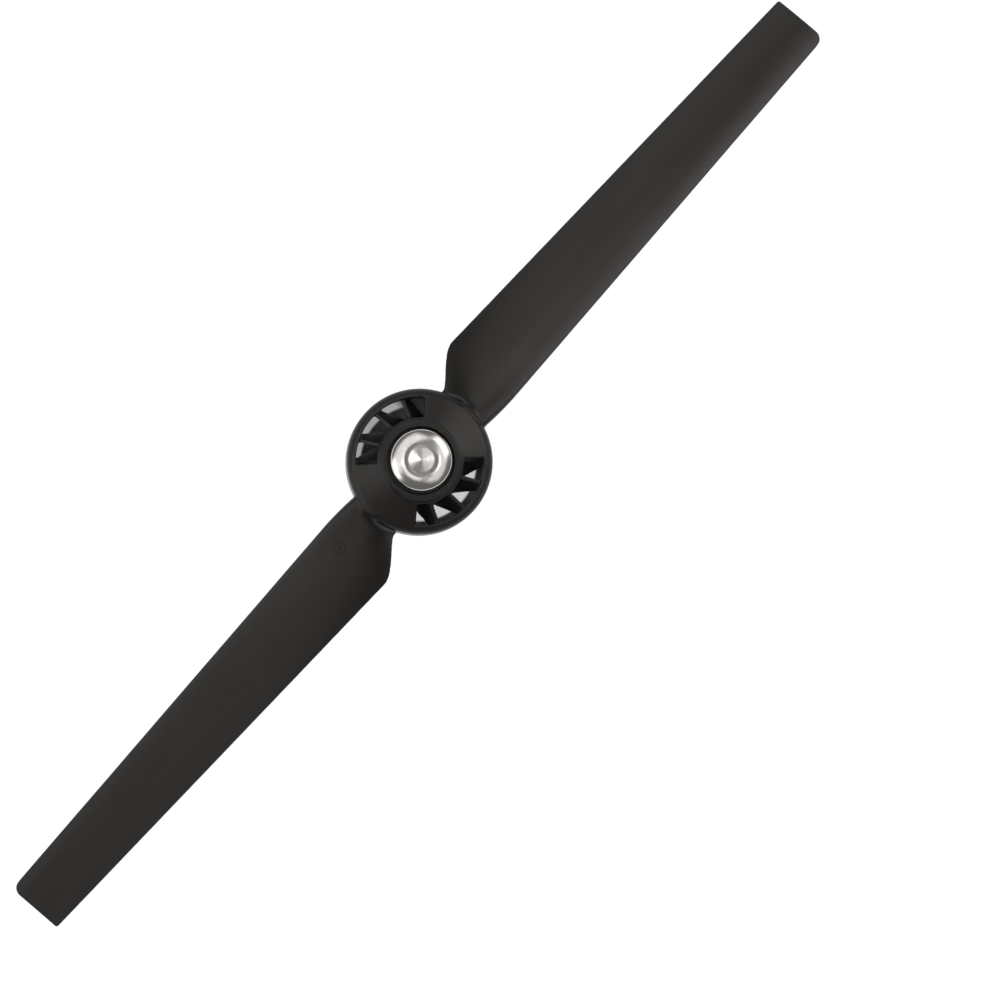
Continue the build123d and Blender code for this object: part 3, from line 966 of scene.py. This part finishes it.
def floor_glow(shader):
    """How strongly the floor glows, from 0 to 1, with painted shade and painted light under the hub.
    """
    split = shader.node("ShaderNodeSeparateXYZ")
    shader.link(shader.place(), split.inputs["Vector"])
    x, y = split.outputs["X"], split.outputs["Y"]
    away = shader.axis_distance(split)
    outside = shader.ramp(away, GLOW_START_R, GLOW_FULL_R)
    beyond = shader.ramp(away, SHADE_R - SHADE_SOFTNESS, SHADE_R + SHADE_SOFTNESS)
    near = shader.ramp(y, NEAR_SOFTNESS, -NEAR_SOFTNESS)
    lit = shader.math("ABSOLUTE", shader.math("SUBTRACT", beyond, near), 0.0)
    far_end = shader.ramp(x, FAR_SIDE_END, FAR_SIDE_END - FAR_SIDE_FADE)
    far = shader.ramp(y, -FAR_SOFTNESS, FAR_SOFTNESS, 0, FAR_SIDE_GLOW)
    sides = shader.math("ADD", shader.math("MULTIPLY", far_end, far), near)
    shaded = shader.math("MULTIPLY", sides, SHADED_GLOW)
    return shader.math("MAXIMUM", outside, shader.math("MULTIPLY", lit, shaded))


def floor_material():
    """White table, lit from above and glowing as a light table does, with painted shade and painted
    light under the hub. From below it is clear.
    """
    shader = Shader("floor")
    speckle = shader.noise(60, 3, 0.5)
    base = shader.blend(speckle, FLOOR_WHITE, FLOOR_SPECKLE)
    shader.link(base, shader.surface.inputs["Base Color"])
    shader.set(Roughness=0.9, Specular_IOR_Level=0.0, Emission_Color=(1, 1, 1, 1))
    glow = shader.math("MULTIPLY", floor_glow(shader), FLOOR_GLOW)
    shader.link(glow, shader.surface.inputs["Emission Strength"])
    from_below = shader.node("ShaderNodeNewGeometry").outputs["Backfacing"]
    clear = shader.node("ShaderNodeBsdfTransparent")
    mix = shader.node("ShaderNodeMixShader")
    output = shader.tree.nodes["Material Output"]
    shader.link(from_below, mix.inputs[0])
    shader.link(shader.surface.outputs[0], mix.inputs[1])
    shader.link(clear.outputs[0], mix.inputs[2])
    shader.link(mix.outputs[0], output.inputs["Surface"])
    return shader.material


# ---- Studio ----

SPAN_HEADING = 49.5  # blade 1 points this many degrees above the picture's right-hand side
CAMERA_DISTANCE = 3500.0
CAMERA_TILT_SPAN = 4.2  # degrees that the camera leans towards blade 2
CAMERA_TILT_CHORD = 0.7
FRAME_WIDTH = 280.1  # width of the picture at the hub's rim
RIGHT_OF_HUB = 22.44  # the picture's middle, seen from the hub
BELOW_HUB = 10.78
SENSOR_WIDTH = 36.0

# In metres
LAMP_DISTANCE = 1.2
FLOOR_HALF_SIDE = 3.0
CLIP_RANGE = (0.1, 50)  # what the camera sees, near and far

LIGHT_COLOUR = (1.0, 0.965, 0.935)  # warm studio light
WORLD_STRENGTH = 0.15


def camera():
    """Long lens high above the hub, which lies off the picture's middle."""
    right = Vector((cos(radians(SPAN_HEADING)), -sin(radians(SPAN_HEADING)), 0))
    up = Vector((sin(radians(SPAN_HEADING)), cos(radians(SPAN_HEADING)), 0))
    aim = right * RIGHT_OF_HUB - up * BELOW_HUB + Vector((0, 0, RIM_TOP_Z))
    back = Vector((-sin(radians(CAMERA_TILT_SPAN)), sin(radians(CAMERA_TILT_CHORD)), 1)).normalized()
    up = (up - back * up.dot(back)).normalized()
    right = up.cross(back)
    lens = bpy.data.cameras.new("camera")
    lens.sensor_width = SENSOR_WIDTH
    lens.lens = SENSOR_WIDTH * CAMERA_DISTANCE / FRAME_WIDTH
    lens.clip_start, lens.clip_end = CLIP_RANGE
    eye = bpy.data.objects.new("camera", lens)
    rotation = Matrix((right, up, back)).transposed().to_4x4()
    eye.matrix_world = Matrix.Translation((aim + back * CAMERA_DISTANCE) * MM) @ rotation
    bpy.context.scene.collection.objects.link(eye)
    bpy.context.scene.camera = eye


def softbox(name, heading, elevation, width, height, radiance):
    """Rectangular lamp that faces the hub. Headings turn from +X towards +Y, in degrees."""
    turn, rise = radians(heading), radians(elevation)
    toward = Vector((cos(rise) * cos(turn), cos(rise) * sin(turn), sin(rise)))
    lamp = bpy.data.lights.new(name, "AREA")
    lamp.shape = "RECTANGLE"
    lamp.size, lamp.size_y = width, height
    lamp.energy = pi * width * height * radiance
    lamp.color = LIGHT_COLOUR
    thing = bpy.data.objects.new(name, lamp)
    thing.location = toward * LAMP_DISTANCE
    thing.rotation_euler = toward.to_track_quat("Z", "Y").to_euler()
    thing.visible_camera = False
    bpy.context.scene.collection.objects.link(thing)


def floor():
    """White stage floor, level with the rim's foot."""
    side = FLOOR_HALF_SIDE
    corners = [(-side, -side, 0), (side, -side, 0), (side, side, 0), (-side, side, 0)]
    mesh = bpy.data.meshes.new("floor")
    mesh.from_pydata(corners, [], [(0, 1, 2, 3)])
    mesh.materials.append(floor_material())
    thing = bpy.data.objects.new("floor", mesh)
    bpy.context.scene.collection.objects.link(thing)


def world():
    """Faint even light from all round."""
    made = bpy.data.worlds.new("studio")
    made.use_nodes = True
    background = made.node_tree.nodes["Background"]
    background.inputs["Color"].default_value = (*LIGHT_COLOUR, 1)
    background.inputs["Strength"].default_value = WORLD_STRENGTH
    bpy.context.scene.world = made


def lamps():
    """Two broad softboxes over the blades, two for the rim, and small ones for the nut's dome."""
    softbox("softbox_over_rear", 92, 57, 2.0, 0.85, 0.92)
    softbox("softbox_over_front", -62, 58, 1.35, 0.7, 0.72)
    softbox("softbox_right", -14, 36, 0.8, 0.6, 1.7)
    softbox("softbox_left", 150, 28, 0.8, 0.6, 1.5)
    softbox("strip_right", -50, 74, 0.22, 0.22, 3.2)
    softbox("strip_left", 130, 74, 0.2, 0.2, 2.2)
    softbox("strip_end", -168, 72, 0.5, 0.3, 1.1)


bpy.context.scene.view_settings.view_transform = "Standard"
camera()
floor()
world()
lamps()
nylon = nylon_material()
moulding(nylon)
mould_mark(nylon)
nut(metal_material())
spacer(rubber_material())
